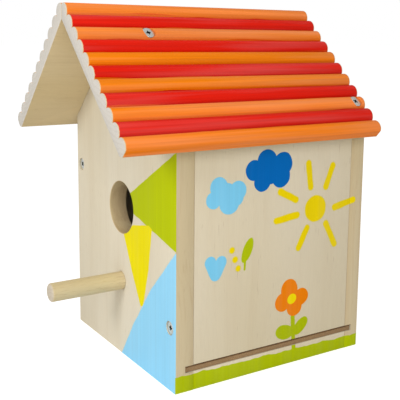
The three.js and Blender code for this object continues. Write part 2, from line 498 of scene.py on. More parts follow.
def makePerch():
    low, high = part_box("perch")
    length = high.y - low.y
    radius = perchForm["radius"]
    dowel = rod("perch_dowel", [(radius, 0), (radius, length)], perchForm["facets"])
    steps = perchForm["roundingSteps"]
    easeEdges(dowel, perchForm["rounding"], lambda edge: liesAt(edge, 2, length), steps)
    openUp(dowel)
    pick(dowel, "FACE", lambda face: face.normal.z > 0.99)
    bpy.ops.mesh.inset(thickness=perchForm["crownInset"], depth=perchForm["crownRise"])
    leaveAll()
    stand(dowel, Vector((0, high.y, perchForm["height"])), Vector((0, -1, 0)))
    return smoothOver(dowel, 40)


# Traces the section from the mitre at the ridge, over the beads, round the eave and back underneath.
def beadedBoard():
    form = roofForm
    depth = form["beadDepth"]
    radius = (beadPitch ** 2 / 4 + depth ** 2) / (2 * depth)
    sweep = asin(beadPitch / 2 / radius)
    mitreGap = form["seatGap"] / 2 / cos(slope)
    underMitre = form["base"] * tan(slope) + mitreGap
    top = slopePoint(mitreGap, 0)
    foot = slopePoint(underMitre, -form["base"])
    length = roofHigh.y - roofLow.y
    middleY = (roofHigh.y + roofLow.y) / 2
    leaveAll()
    mitreSpot = (top.x, middleY, (top.z + foot.z) / 2)
    bpy.ops.mesh.primitive_plane_add(size=1, location=mitreSpot, rotation=(0, pi / 2, 0))
    board = nameIt("right_roof")
    board.scale = (top.z - foot.z, length, 1)
    settle(board)
    openUp(board)
    pick(board, "EDGE", lambda edge: liesAt(edge, 2, top.z))
    spot = top

    def drawTo(target):
        nonlocal spot
        bpy.ops.mesh.extrude_region_move(TRANSFORM_OT_translate={"value": target - spot})
        spot = target

    drawTo(slopePoint(*form["mitreRub"]))
    started = form["firstSweep"] * sweep
    drawTo(slopePoint(beadCrest(1) - radius * sin(started), radius * cos(started) - radius + depth))
    for bead in range(1, form["beadCount"]):
        centre = slopePoint(beadCrest(bead), depth - radius, middleY)
        bpy.ops.mesh.spin(steps=form["beadSteps"], angle=-(started + sweep), center=centre, axis=(0, 1, 0))
        started = sweep
        spot = slopePoint(bead * beadPitch, 0)
    lastCrest = beadCrest(form["beadCount"])
    centre = slopePoint(lastCrest, depth - radius, middleY)
    bpy.ops.mesh.spin(steps=form["beadSteps"] // 2, angle=-sweep, center=centre, axis=(0, 1, 0))
    spot = slopePoint(lastCrest, depth)
    noseLength = boardLength - lastCrest
    for step in range(1, form["beadSteps"] + 1):
        angle = pi / 2 * step / form["beadSteps"]
        drop = form["lastBeadDrop"] * (1 - cos(angle))
        drawTo(slopePoint(lastCrest + noseLength * sin(angle), depth - drop))
    drawTo(slopePoint(boardLength, -form["eaveCut"]))
    levelRun = (form["base"] - form["eaveCut"]) / tan(slope)
    drawTo(slopePoint(boardLength - levelRun, -form["base"]))
    drawTo(foot)
    bpy.ops.mesh.select_all(action="SELECT")
    bpy.ops.mesh.remove_doubles(threshold=0.005 * mm)
    for y in (roofLow.y, roofHigh.y):
        pick(board, "EDGE", lambda edge: edge.is_boundary and near(middle(edge).y, y))
        bpy.ops.mesh.edge_face_add()
    faceOut(board)
    easeEdges(board, form["rimEase"],
              lambda edge: liesAt(edge, 1, roofLow.y) or liesAt(edge, 1, roofHigh.y))
    return board


def makeRoofBoards():
    right = beadedBoard()
    left = twinOf(right, "left_roof")
    openUp(left)
    bpy.ops.mesh.select_all(action="SELECT")
    bpy.ops.transform.resize(value=(-1, 1, 1), center_override=(0, 0, 0))
    leaveAll()
    faceOut(left)
    bore(right, "right_roof_screw_front", "right_roof_screw_back")
    bore(left, "left_roof_screw_front", "left_roof_screw_back")
    return smoothOver(right, 40), smoothOver(left, 40)


frontPanel = makeFrontPanel()
backPanel = makeBackPanel()
rightWall = makeRightWall()
leftWall = makeLeftWall()
rail = makeRail()
floorBoard = makeFloor()
perch = makePerch()
print("body modelled")
rightRoof, leftRoof = makeRoofBoards()
print("roof modelled")
screwPieces = makeScrews()
print("screws modelled")


# A colour given as it looks on a screen, 0 to 255.
def shade(red, green, blue):
    parts = [value / 255 for value in (red, green, blue)]
    return [part / 12.92 if part < 0.04045 else ((part + 0.055) / 1.055) ** 2.4 for part in parts] + [1]


def feed(tree, socket, value):
    if isinstance(value, bpy.types.NodeSocket):
        tree.links.new(value, socket)
    else:
        socket.default_value = value


def put(tree, kind, inputs, **settings):
    node = tree.nodes.new("ShaderNode" + kind)
    for name, value in settings.items():
        setattr(node, name, value)
    for key, value in inputs.items():
        feed(tree, node.inputs[key], value)
    return node


def calc(tree, operation, *values):
    return put(tree, "Math", dict(enumerate(values)), operation=operation).outputs["Value"]


def vectorCalc(tree, operation, *values):
    return put(tree, "VectorMath", dict(enumerate(values)), operation=operation).outputs["Vector"]


def lengthOf(tree, vector):
    return put(tree, "VectorMath", {0: vector}, operation="LENGTH").outputs["Value"]


def dotOf(tree, first, second):
    return put(tree, "VectorMath", {0: first, 1: second}, operation="DOT_PRODUCT").outputs["Value"]


def scaled(tree, vector, factor):
    return put(tree, "VectorMath", {"Vector": vector, "Scale": factor}, operation="SCALE").outputs["Vector"]


def split(tree, vector):
    return [put(tree, "SeparateXYZ", {"Vector": vector}).outputs[axis] for axis in "XYZ"]


def join(tree, x, y, z):
    return put(tree, "CombineXYZ", {"X": x, "Y": y, "Z": z}).outputs["Vector"]


def cloudy(tree, point, stretch, detail=2, roughness=0.5):
    vector = vectorCalc(tree, "MULTIPLY", point, stretch)
    inputs = {"Vector": vector, "Scale": 1, "Detail": detail, "Roughness": roughness}
    return put(tree, "TexNoise", inputs).outputs["Fac"]


def ease(tree, value, start, stop, low=0, high=1):
    inputs = {"Value": value, "From Min": start, "From Max": stop, "To Min": low, "To Max": high}
    return put(tree, "MapRange", inputs, interpolation_type="SMOOTHSTEP").outputs["Result"]


# A soft-edged mask from a pattern, at part strength.
def faint(tree, value, start, stop, strength):
    return calc(tree, "MULTIPLY", ease(tree, value, start, stop), strength)


# A pattern that swings evenly either side of nought.
def swing(tree, point, stretch, detail=2):
    return calc(tree, "SUBTRACT", cloudy(tree, point, stretch, detail), 0.5)


# The same point elsewhere in the pattern, so that no two pieces match.
def elsewhere(tree, point, seed, stride):
    return vectorCalc(tree, "ADD", point, scaled(tree, stride, seed))


def remap(tree, value, start, stop, low=0, high=1):
    inputs = {"Value": value, "From Min": start, "From Max": stop, "To Min": low, "To Max": high}
    return put(tree, "MapRange", inputs).outputs["Result"]


def mix(tree, factor, first, second):
    node = put(tree, "Mix", {}, data_type="RGBA")
    feed(tree, node.inputs[0], factor)
    feed(tree, node.inputs[6], first)
    feed(tree, node.inputs[7], second)
    return node.outputs[2]


def lighten(tree, colour, value, saturation=1.0):
    inputs = {"Color": colour, "Value": value, "Saturation": saturation}
    return put(tree, "HueSaturation", inputs).outputs["Color"]


def newGroup(name, inputs, outputs):
    group = bpy.data.node_groups.new(name, "ShaderNodeTree")
    for label, kind in inputs.items():
        group.interface.new_socket(label, in_out="INPUT", socket_type="NodeSocket" + kind)
    for label, kind in outputs.items():
        group.interface.new_socket(label, in_out="OUTPUT", socket_type="NodeSocket" + kind)
    return group, group.nodes.new("NodeGroupInput").outputs, group.nodes.new("NodeGroupOutput").inputs


def useGroup(tree, group, inputs):
    node = tree.nodes.new("ShaderNodeGroup")
    node.node_tree = group
    for key, value in inputs.items():
        feed(tree, node.inputs[key], value)
    return node.outputs


# What every wood or paint layer gives to the finish that it is laid into
layerOutputs = {"Colour": "Color", "Roughness": "Float", "Height": "Float"}

pineForm = {
    "stride": (37.3, 11.9, 83.1),
    "bow": (0.02, 0.02, 0.009),  # how tightly each pattern repeats, per millimetre
    "bowReach": 16,
    "bands": (0.13, 0.13, 0.0035),
    "lines": (0.75, 0.75, 0.01),
    "fibres": (3.6, 3.6, 0.07),
    "flecks": (1.5, 1.5, 0.11),
    "tone": (0.017, 0.017, 0.006),
    "bandShare": 0.42,
    "lineShare": 0.36,
    "fleckShare": 0.34,
    "fleckColour": (0.35, 0.24, 0.15, 1),
}


# Pale softwood whose grain runs along Z of the point, in millimetres.
def pineGrainGroup():
    form = pineForm
    sockets = {"Point": "Vector", "Seed": "Float", "Pale": "Color", "Dark": "Color", "Figure": "Float"}
    group, given, out = newGroup("pineGrain", sockets, layerOutputs)
    figure = given["Figure"]
    point = elsewhere(group, given["Point"], given["Seed"], form["stride"])
    bow = calc(group, "MULTIPLY", cloudy(group, point, form["bow"], 1), form["bowReach"])
    bent = vectorCalc(group, "ADD", point, join(group, bow, bow, 0))
    bands = faint(group, cloudy(group, bent, form["bands"], 4, 0.6), 0.45, 0.66, figure)
    lines = cloudy(group, bent, form["lines"], 3, 0.55)
    lineMask = faint(group, lines, 0.5, 0.74, figure)
    fibres = cloudy(group, bent, form["fibres"])
    flecks = ease(group, cloudy(group, point, form["flecks"], 1), 0.715, 0.78)
    tone = cloudy(group, point, form["tone"], 1)
    wood = mix(group, calc(group, "MULTIPLY", bands, form["bandShare"]), given["Pale"], given["Dark"])
    wood = mix(group, calc(group, "MULTIPLY", lineMask, form["lineShare"]), wood, given["Dark"])
    brightness = remap(group, tone, 0.3, 0.7, 0.955, 1.035)
    wood = lighten(group, wood, brightness, remap(group, tone, 0.3, 0.7, 1.12, 0.9))
    wood = lighten(group, wood, remap(group, fibres, 0.25, 0.75, 0.97, 1.028))
    wood = mix(group, calc(group, "MULTIPLY", flecks, form["fleckShare"]), wood, form["fleckColour"])
    feed(group, out["Colour"], wood)
    feed(group, out["Roughness"], remap(group, fibres, 0.3, 0.7, 0.6, 0.76))
    relief = calc(group, "MULTIPLY_ADD", lines, 0.6, calc(group, "MULTIPLY", fibres, 0.4))
    feed(group, out["Height"], calc(group, "SUBTRACT", relief, calc(group, "MULTIPLY", flecks, 0.5)))
    return group


endGrainForm = {
    "stride": (41.7, 41.7, 41.7),
    "wander": (0.12, 0.12, 0.12),
    "wanderReach": 5,
    "ringRate": 2.6,  # radians of a year ring per millimetre
    "pores": (2.4, 2.4, 2.4),
    "ringShare": 0.22,
    "poreShare": 0.35,
}


# Sawn end grain: curved year rings and open pores, on a flat point.
def endGrainGroup():
    form = endGrainForm
    sockets = {"Point": "Vector", "Pith": "Vector", "Seed": "Float", "Pale": "Color", "Dark": "Color"}
    group, given, out = newGroup("endGrain", sockets, layerOutputs)
    point = elsewhere(group, given["Point"], given["Seed"], form["stride"])
    radius = lengthOf(group, vectorCalc(group, "SUBTRACT", given["Point"], given["Pith"]))
    wander = calc(group, "MULTIPLY", cloudy(group, point, form["wander"]), form["wanderReach"])
    turns = calc(group, "MULTIPLY", calc(group, "ADD", radius, wander), form["ringRate"])
    rings = calc(group, "SINE", turns)
    pores = cloudy(group, point, form["pores"], 3, 0.6)
    wood = mix(group, faint(group, rings, 0.1, 1, form["ringShare"]), given["Pale"], given["Dark"])
    wood = mix(group, faint(group, pores, 0.5, 0.68, form["poreShare"]), wood, given["Dark"])
    feed(group, out["Colour"], wood)
    feed(group, out["Roughness"], remap(group, pores, 0.3, 0.7, 0.74, 0.9))
    feed(group, out["Height"], calc(group, "MULTIPLY_ADD", rings, 0.15, pores))
    return group


paintForm = {
    "stride": (53.9, 53.9, 53.9),
    "hairs": (1.1, 1.1, 0.012),  # marks of single bristles
    "sweeps": (0.45, 0.45, 0.006),
    "pools": (0.2, 0.2, 0.008),
    "hairShare": 0.9,
    "sweepShare": 0.8,
    "fade": -0.5,  # thick patches are less pale
}


# Craft paint brushed along Z of the point: streaks, and patches where it dried thicker.
def brushedPaintGroup():
    form = paintForm
    sockets = {"Point": "Vector", "Seed": "Float", "Paint": "Color", "Streaks": "Float"}
    group, given, out = newGroup("brushedPaint", sockets, layerOutputs)
    strength = given["Streaks"]
    point = elsewhere(group, given["Point"], given["Seed"], form["stride"])
    hairs = cloudy(group, point, form["hairs"], 3, 0.65)
    sweeps = cloudy(group, point, form["sweeps"])
    streaks = calc(group, "MULTIPLY", calc(group, "SUBTRACT", hairs, 0.5), form["hairShare"])
    sweepSwing = calc(group, "SUBTRACT", sweeps, 0.5)
    streaks = calc(group, "MULTIPLY_ADD", sweepSwing, form["sweepShare"], streaks)
    value = calc(group, "MULTIPLY_ADD", streaks, strength, 1)
    pools = swing(group, point, form["pools"])
    fade = calc(group, "MULTIPLY_ADD", pools, calc(group, "MULTIPLY", strength, form["fade"]), 1)
    feed(group, out["Colour"], lighten(group, given["Paint"], value, fade))
    feed(group, out["Roughness"], remap(group, hairs, 0.3, 0.7, 0.46, 0.6))
    height = calc(group, "MULTIPLY_ADD", sweeps, 0.5, calc(group, "MULTIPLY", hairs, 0.5))
    feed(group, out["Height"], height)
    return group


# Turns the distance from a painted shape's outline, negative inside, into a mask with an uneven edge.
def handEdgeGroup():
    sockets = {"Distance": "Float", "Point": "Vector", "Wobble": "Float", "Softness": "Float"}
    group, given, out = newGroup("handEdge", sockets, {"Mask": "Float"})
    slow = swing(group, given["Point"], (0.16, 0.16, 0.16), 1)
    quick = swing(group, given["Point"], (1.3, 1.3, 1.3))
    drift = calc(group, "MULTIPLY_ADD", quick, 0.25, slow)
    reach = calc(group, "MULTIPLY", given["Wobble"], 4)
    edge = calc(group, "MULTIPLY_ADD", drift, reach, given["Distance"])
    start = calc(group, "MULTIPLY", given["Softness"], -1)
    feed(group, out["Mask"], ease(group, edge, start, given["Softness"], 1, 0))
    return group


# A stroke with round ends.
def strokeGroup():
    sockets = {"Point": "Vector", "Start": "Vector", "End": "Vector", "Radius": "Float"}
    group, given, out = newGroup("strokeShape", sockets, {"Distance": "Float"})
    along = vectorCalc(group, "SUBTRACT", given["End"], given["Start"])
    offset = vectorCalc(group, "SUBTRACT", given["Point"], given["Start"])
    share = calc(group, "DIVIDE", dotOf(group, offset, along), dotOf(group, along, along))
    share = put(group, "Clamp", {"Value": share}).outputs["Result"]
    gap = vectorCalc(group, "SUBTRACT", offset, scaled(group, along, share))
    feed(group, out["Distance"], calc(group, "SUBTRACT", lengthOf(group, gap), given["Radius"]))
    return group


# An oval, turned about its centre.
def blobGroup():
    sockets = {"Point": "Vector", "Centre": "Vector", "Reach": "Vector", "Turn": "Float"}
    group, given, out = newGroup("blobShape", sockets, {"Distance": "Float"})
    offset = vectorCalc(group, "SUBTRACT", given["Point"], given["Centre"])
    inputs = {"Vector": offset, "Angle": calc(group, "MULTIPLY", given["Turn"], -1)}
    turned = put(group, "VectorRotate", inputs, rotation_type="Z_AXIS").outputs["Vector"]
    ratio = lengthOf(group, vectorCalc(group, "DIVIDE", turned, given["Reach"]))
    reach = split(group, given["Reach"])
    shortest = calc(group, "MINIMUM", reach[0], reach[1])
    feed(group, out["Distance"], calc(group, "MULTIPLY", calc(group, "SUBTRACT", ratio, 1), shortest))
    return group


# How far a point lies to the right of a straight edge.
def straightEdgeGroup():
    sockets = {"Point": "Vector", "From": "Vector", "To": "Vector"}
    group, given, out = newGroup("straightEdge", sockets, {"Distance": "Float"})
    along = vectorCalc(group, "NORMALIZE", vectorCalc(group, "SUBTRACT", given["To"], given["From"]))
    offset = vectorCalc(group, "SUBTRACT", given["Point"], given["From"])
    feed(group, out["Distance"], split(group, vectorCalc(group, "CROSS_PRODUCT", offset, along))[2])
    return group


pineGrain = pineGrainGroup()
endGrain = endGrainGroup()
brushedPaint = brushedPaintGroup()
handEdge = handEdgeGroup()
strokeShape = strokeGroup()
blobShape = blobGroup()
straightEdge = straightEdgeGroup()


def chain(tree, operation, distances):
    total = distances[0]
    for distance in distances[1:]:
        total = calc(tree, operation, total, distance)
    return total


def stroke(tree, point, start, end, radius):
    inputs = {"Point": point, "Start": (*start, 0), "End": (*end, 0), "Radius": radius}
    return useGroup(tree, strokeShape, inputs)["Distance"]


def blob(tree, point, centre, reach, turn=0):
    inputs = {"Point": point, "Centre": (*centre, 0), "Reach": (*reach, 1), "Turn": radians(turn)}
    return useGroup(tree, blobShape, inputs)["Distance"]


# A straight-sided patch, its corners listed anticlockwise.
def patch(tree, point, corners):
    sides = []
    for start, end in zip(corners, corners[1:] + corners[:1]):
        inputs = {"Point": point, "From": (*start, 0), "To": (*end, 0)}
        sides.append(useGroup(tree, straightEdge, inputs)["Distance"])
    return chain(tree, "MAXIMUM", sides)


def painted(tree, distance, point, wobble, softness=0.12):
    inputs = {"Distance": distance, "Point": point, "Wobble": wobble, "Softness": softness}
    return useGroup(tree, handEdge, inputs)["Mask"]


# The pictures painted on the house, in millimetres across and up each face
paints = {
    "lime": shade(178, 190, 0),
    "grass": shade(168, 182, 12),
    "yellow": shade(232, 216, 14),
    "sun": shade(228, 202, 0),
    "sky": shade(147, 208, 238),
    "paleCloud": shade(120, 194, 226),
    "deepBlue": shade(2, 98, 174),
    "petal": shade(231, 126, 20),
    "petalCentre": shade(236, 214, 0),
}

frontPatches = {
    "lime": [(8, 85.5), (75, 70.2), (75, 131.6), (8, 92.6)],
    "yellow": [(22.7, 34.6), (25.6, 35.5), (31.9, 57.3), (35.5, 79.8), (32.2, 81.1), (14.3, 77.6),
               (3.1, 70.2), (12.3, 52)],
    "sky": [(-3.7, -5.1), (75, -5.1), (75, 88.6), (34, 47), (13.8, 21.1)],
}

deepCloud = [((14.2, 114.6), 6.3), ((24.6, 112.4), 6.3), ((23.4, 105.8), 6.1), ((11.4, 104.2), 5.5),
             ((6, 110.3), 5.5), ((16, 109), 7)]
paleCloud = [((-15.6, 103.6), 5.3), ((-4.1, 100.6), 5.3), ((-9.2, 95.2), 6.2), ((-18.7, 97.2), 4.5),
             ((-11, 99.4), 6), ((-5.6, 98), 5.4)]
sun = ((47.9, 85.6), (7.5, 7.5))
rayRadius = 1.95
sunRays = [((42.2, 111.1), (44.1, 98.1)), ((59.5, 108.6), (54.9, 97.2)), ((23.5, 97.4), (34, 91.9)),
           ((21.1, 81.8), (35.1, 83.6)), ((42.2, 75.6), (36.7, 65.2)), ((55.7, 76.2), (62.4, 63.9)),
           ((61.7, 84.9), (75.5, 87.6))]
petals = [((31.2, 42.2), (5.7, 6.3), 12), ((38.9, 36.9), (5.7, 4.9), 20), ((34.9, 31.9), (5.2, 5.1), 0),
          ((26.7, 35.9), (5.2, 5.2), 40), ((33, 36.8), (5, 5), 0)]
flowerCentre = ((33, 36.8), (3.2, 2.8), 30)
flowerStem = ((33.9, 27), (35.4, 5), 1.4)
leaves = [((39.5, 20.2), (6.1, 3.5), 42), ((28.4, 18.7), (6.3, 4.1), -14)]
heart = [((-20.3, 65.2), (-17.1, 58.6), 3.4), ((-13.8, 64.6), (-17.1, 58.6), 3.4)]
dots = [((-7.2, 69.9), 1.75), ((-5.2, 64.7), 1.75), ((-3.2, 59.6), 1.75)]
looseLeaf = ((2.6, 68.6), (6.9, 2.9), 66)
leafStalk = ((1.2, 64), (0.9, 58.6), 0.75)
grassLine = {"start": 8.2, "fall": 0.0145, "waves": 3.6, "pitch": 0.1}


def roundSpots(tree, point, spots):
    return [blob(tree, point, spot, (size, size)) for spot, size in spots]


def nearest(tree, distances):
    return chain(tree, "MINIMUM", distances)


def newPicture(name):
    return newGroup(name, {"Point": "Vector"}, {"Colour": "Color", "Mask": "Float"})


# Adds a painted shape to a picture, which is a colour and a mask.
def laidOver(tree, picture, distance, point, colour, wobble, softness=0.12):
    mask = painted(tree, distance, point, wobble, softness)
    if picture is None:
        return colour, mask
    return mix(tree, mask, picture[0], colour), calc(tree, "MAXIMUM", picture[1], mask)


def frontPictureGroup():
    group, given, out = newPicture("frontPicture")
    point = given["Point"]
    picture = None
    for name, corners in frontPatches.items():
        picture = laidOver(group, picture, patch(group, point, corners), point, paints[name], 0.18)
    feed(group, out["Colour"], picture[0])
    feed(group, out["Mask"], picture[1])
    return group


# How far a point of the side is above the uneven top of the grass.
def aboveGrass(tree, point):
    across, up = split(tree, point)[:2]
    waves = swing(tree, join(tree, across, 0, 0), (grassLine["pitch"],) * 3)
    top = calc(tree, "MULTIPLY_ADD", across, -grassLine["fall"], grassLine["start"])
    top = calc(tree, "MULTIPLY_ADD", waves, grassLine["waves"], top)
    return calc(tree, "SUBTRACT", up, top)


def grassPictureGroup():
    group, given, out = newPicture("grassPicture")
    feed(group, out["Colour"], paints["grass"])
    feed(group, out["Mask"], painted(group, aboveGrass(group, given["Point"]), given["Point"], 0.05))
    return group


def sidePictureGroup():
    group, given, out = newPicture("sidePicture")
    point = given["Point"]
    picture = laidOver(group, None, aboveGrass(group, point), point, paints["grass"], 0.05)
    clouds = {"deepBlue": deepCloud, "paleCloud": paleCloud}
    for paint, spots in clouds.items():
        cloud = nearest(group, roundSpots(group, point, spots))
        picture = laidOver(group, picture, cloud, point, paints[paint], 0.16)
    shapes = [blob(group, point, *sun)]
    shapes += [stroke(group, point, start, end, rayRadius) for start, end in sunRays]
    shapes += roundSpots(group, point, dots)
    picture = laidOver(group, picture, nearest(group, shapes), point, paints["sun"], 0.22, 0.4)
    heartShape = nearest(group, [stroke(group, point, *half) for half in heart])
    picture = laidOver(group, picture, heartShape, point, paints["paleCloud"], 0.12)
    greens = [stroke(group, point, *line) for line in (flowerStem, leafStalk)]
    greens += [blob(group, point, *leaf) for leaf in (*leaves, looseLeaf)]
    picture = laidOver(group, picture, nearest(group, greens), point, paints["grass"], 0.14)
    flower = nearest(group, [blob(group, point, *petal) for petal in petals])
    picture = laidOver(group, picture, flower, point, paints["petal"], 0.14)
    centre = blob(group, point, *flowerCentre)
    picture = laidOver(group, picture, centre, point, paints["petalCentre"], 0.1)
    feed(group, out["Colour"], picture[0])
    feed(group, out["Mask"], picture[1])
    return group


frontPicture = frontPictureGroup()
grassPicture = grassPictureGroup()  # all that reaches the front panel's edge
sidePicture = sidePictureGroup()
print("pictures drawn")


woodTones = {
    "pale": shade(218, 208, 186),
    "dark": shade(194, 175, 144),
    "sidePale": shade(211, 199, 173),
    "edgePale": shade(200, 184, 151),
    "edgeDark": shade(178, 151, 117),
    "underPale": shade(214, 192, 147),
    "underDark": shade(186, 158, 114),
    "endPale": shade(204, 198, 188),
    "endDark": shade(184, 173, 158),
    "holePale": shade(206, 187, 148),
    "dowelPale": shade(210, 193, 154),
    "dowelDark": shade(188, 165, 120),
    "dowelTick": shade(150, 122, 82),
    "dowelEndPale": shade(200, 188, 168),
    "dowelEndDark": shade(176, 160, 138),
}

boardLook = {
    "figure": 0.26,  # how strongly the grain shows
    "edgeFigure": 0.7,
    "holeFigure": 1.0,
    "streaks": 0.16,
    "boreEdge": (0.2, 0.4),  # past the hole's wall, where the bored wood gives way
    "relief": 0.055 * mm,
}
faceBand = 0.3  # mm, how near a face paint or edge wood starts
coatRise = 0.9  # how far a coat stands up, against the relief of the grain


def newFinish(name):
    finish = bpy.data.materials.new(name)
    finish.use_nodes = True
    tree = finish.node_tree
    place = put(tree, "TexCoord", {}).outputs["Object"]
    return finish, tree, tree.nodes["Principled BSDF"], scaled(tree, place, 1 / mm)


def finishSurface(tree, surface, layer, relief, specular=0.04):
    feed(tree, surface.inputs["Base Color"], layer["Colour"])
    feed(tree, surface.inputs["Roughness"], layer["Roughness"])
    surface.inputs["Specular IOR Level"].default_value = specular
    bump = put(tree, "Bump", {"Height": layer["Height"], "Distance": relief, "Strength": 1})
    feed(tree, surface.inputs["Normal"], bump.outputs["Normal"])


def blendLayers(tree, mask, under, over):
    colour = mix(tree, mask, under["Colour"], over["Colour"])
    roughness = put(tree, "Mix", {0: mask, 2: under["Roughness"], 3: over["Roughness"]}).outputs[0]
    height = put(tree, "Mix", {0: mask, 2: under["Height"], 3: over["Height"]}).outputs[0]
    return {"Colour": colour, "Roughness": roughness, "Height": height}


def grainLayer(tree, point, seed, pale, dark, figure):
    tones = {"Pale": woodTones[pale], "Dark": woodTones[dark]}
    return useGroup(tree, pineGrain, {"Point": point, "Seed": seed, "Figure": figure, **tones})


def endLayer(tree, point, pith, seed, pale, dark):
    tones = {"Pale": woodTones[pale], "Dark": woodTones[dark]}
    return useGroup(tree, endGrain, {"Point": point, "Pith": (*pith, 0), "Seed": seed, **tones})


# Paint over wood, with its own brush marks. The coat stands a little proud.
def coat(tree, wood, mask, paint, point, seed, streaks):
    inputs = {"Point": point, "Seed": seed, "Paint": paint, "Streaks": streaks}
    layer = useGroup(tree, brushedPaint, inputs)
    both = blendLayers(tree, mask, wood, layer)
    both["Height"] = calc(tree, "MULTIPLY_ADD", mask, coatRise, both["Height"])
    return both


def boardFinish(name, seed, pale, edged=False, hole=False, front=None, side=None):
    look = boardLook
    finish, tree, surface, point = newFinish(name)
    x, y, z = split(tree, point)
    wood = grainLayer(tree, point, seed, pale, "dark", look["figure"])
    if edged:
        edges = grainLayer(tree, point, seed + 0.5, "edgePale", "edgeDark", look["edgeFigure"])
        edgeMask = calc(tree, "GREATER_THAN", calc(tree, "ABSOLUTE", x), halfWidth / mm - faceBand)
        wood = blendLayers(tree, edgeMask, wood, edges)
    if hole:
        radius = boardForm["holeRadius"] / mm
        offset = join(tree, x, 0, calc(tree, "SUBTRACT", z, boardForm["holeHeight"] / mm))
        near, far = (radius + gap for gap in look["boreEdge"])
        inside = ease(tree, lengthOf(tree, offset), near, far, 1, 0)
        bored = grainLayer(tree, point, seed + 0.8, "holePale", "edgeDark", look["holeFigure"])
        wood = blendLayers(tree, inside, wood, bored)
    if front:
        picture = useGroup(tree, front, {"Point": join(tree, x, z, 0)})
        onFace = calc(tree, "LESS_THAN", y, frontLow.y / mm + faceBand)
        mask = calc(tree, "MULTIPLY", picture["Mask"], onFace)
        wood = coat(tree, wood, mask, picture["Colour"], point, seed, look["streaks"])
    if side:
        picture = useGroup(tree, side, {"Point": join(tree, y, z, 0)})
        onFace = calc(tree, "GREATER_THAN", x, halfWidth / mm - faceBand)
        mask = calc(tree, "MULTIPLY", picture["Mask"], onFace)
        wood = coat(tree, wood, mask, picture["Colour"], point, seed, look["streaks"])
    finishSurface(tree, surface, wood, look["relief"])
    return finish


beadTones = {"orange": shade(234, 126, 42), "red": shade(212, 32, 18), "amber": shade(228, 122, 18)}
beadOrder = ["orange", "red", "orange", "red", "amber", "red", "amber", "red", "orange", "red", "orange"]

roofPaintForm = {
    "wander": 2.6,  # how far the boundary between two colours strays, mm
    "wanderPace": 0.02,
    "overlap": 6.0,  # and the edge of the thin second coat
    "overlapPace": 0.016,
    "thin": 0.5,
    "thinStreaks": (0.9, 0.9, 0.018),
    "streaks": 0.5,
    "bareEnd": 0.35,  # the end faces were left unpainted
    "raggedEnd": 0.5,
    "sawnEnd": 0.12,
    "bareBelow": 0.15,
    "shading": (0.93, 1.03),  # from the bottom of a groove to a bead's crest
    "figure": 0.4,
    "pith": (45, 52),
    "laneStep": 7.7,  # sets the grooves apart in the pattern
    "sideStep": 91,  # and the two boards
    "boardStep": 60,
    "relief": 0.1 * mm,
}


def beadColour(tree, along, drift):
    index = calc(tree, "FLOOR", calc(tree, "DIVIDE", calc(tree, "ADD", along, drift), beadPitch / mm))
    share = calc(tree, "DIVIDE", calc(tree, "ADD", index, 0.5), len(beadOrder))
    ramp = put(tree, "ValToRGB", {"Fac": share})
    ramp.color_ramp.interpolation = "CONSTANT"
    stops = ramp.color_ramp.elements
    for number, tone in enumerate(beadOrder):
        stop = stops[number] if number < 2 else stops.new(number / len(beadOrder))
        stop.position = number / len(beadOrder)
        stop.color = beadTones[tone]
    return ramp.outputs["Color"]


# How far the edge of a coat strays from each groove, along the roof.
def straying(tree, lane, y, seed, pace, detail, reach):
    return calc(tree, "MULTIPLY", swing(tree, join(tree, lane, seed, y), (1, 1, pace), detail), reach)


def roofFinish():
    form = roofPaintForm
    finish, tree, surface, point = newFinish("paintedRoofPine")
    x, y, z = split(tree, point)
    side = calc(tree, "SIGN", x)
    across = calc(tree, "ABSOLUTE", x)
    drop = calc(tree, "SUBTRACT", z, ridgeHeight / mm)
    along = calc(tree, "MULTIPLY", across, cos(slope))
    along = calc(tree, "SUBTRACT", along, calc(tree, "MULTIPLY", drop, sin(slope)))
    out = calc(tree, "MULTIPLY", across, sin(slope))
    out = calc(tree, "ADD", out, calc(tree, "MULTIPLY", drop, cos(slope)))
    depth = calc(tree, "MULTIPLY_ADD", side, form["boardStep"], out)
    grained = join(tree, along, depth, y)  # the grain runs along the ridge
    wood = grainLayer(tree, grained, 4.2, "underPale", "underDark", form["figure"])
    sawn = endLayer(tree, join(tree, along, out, 0), form["pith"], 1.7, "endPale", "endDark")
    fromFront = calc(tree, "SUBTRACT", y, roofLow.y / mm)
    fromBack = calc(tree, "SUBTRACT", roofHigh.y / mm, y)
    fromEnd = calc(tree, "MINIMUM", fromFront, fromBack)
    wood = blendLayers(tree, calc(tree, "LESS_THAN", fromEnd, form["sawnEnd"]), wood, sawn)
    beads = calc(tree, "DIVIDE", along, beadPitch / mm)
    lane = calc(tree, "MULTIPLY", side, form["sideStep"])
    lane = calc(tree, "MULTIPLY_ADD", calc(tree, "ROUND", beads), form["laneStep"], lane)
    first = beadColour(tree, along, straying(tree, lane, y, 0, form["wanderPace"], 2, form["wander"]))
    second = beadColour(tree, along, straying(tree, lane, y, 31, form["overlapPace"], 1, form["overlap"]))
    thin = faint(tree, cloudy(tree, grained, form["thinStreaks"]), 0.42, 0.6, form["thin"])
    colour = mix(tree, thin, first, second)
    share = calc(tree, "FRACT", beads)
    crest = calc(tree, "MULTIPLY", share, calc(tree, "SUBTRACT", 1, share))
    colour = lighten(tree, colour, remap(tree, crest, 0, 0.25, *form["shading"]))
    uneven = calc(tree, "MULTIPLY", cloudy(tree, grained, (1.1, 1.1, 0.6)), form["raggedEnd"])
    onTop = calc(tree, "GREATER_THAN", out, -roofForm["eaveCut"] / mm + form["bareBelow"])
    reach = ease(tree, calc(tree, "SUBTRACT", fromEnd, uneven), 0, form["bareEnd"])
    mask = calc(tree, "MULTIPLY", onTop, reach)
    layers = coat(tree, wood, mask, colour, grained, 2.3, form["streaks"])
    finishSurface(tree, surface, layers, form["relief"], 0.1)
    return finish


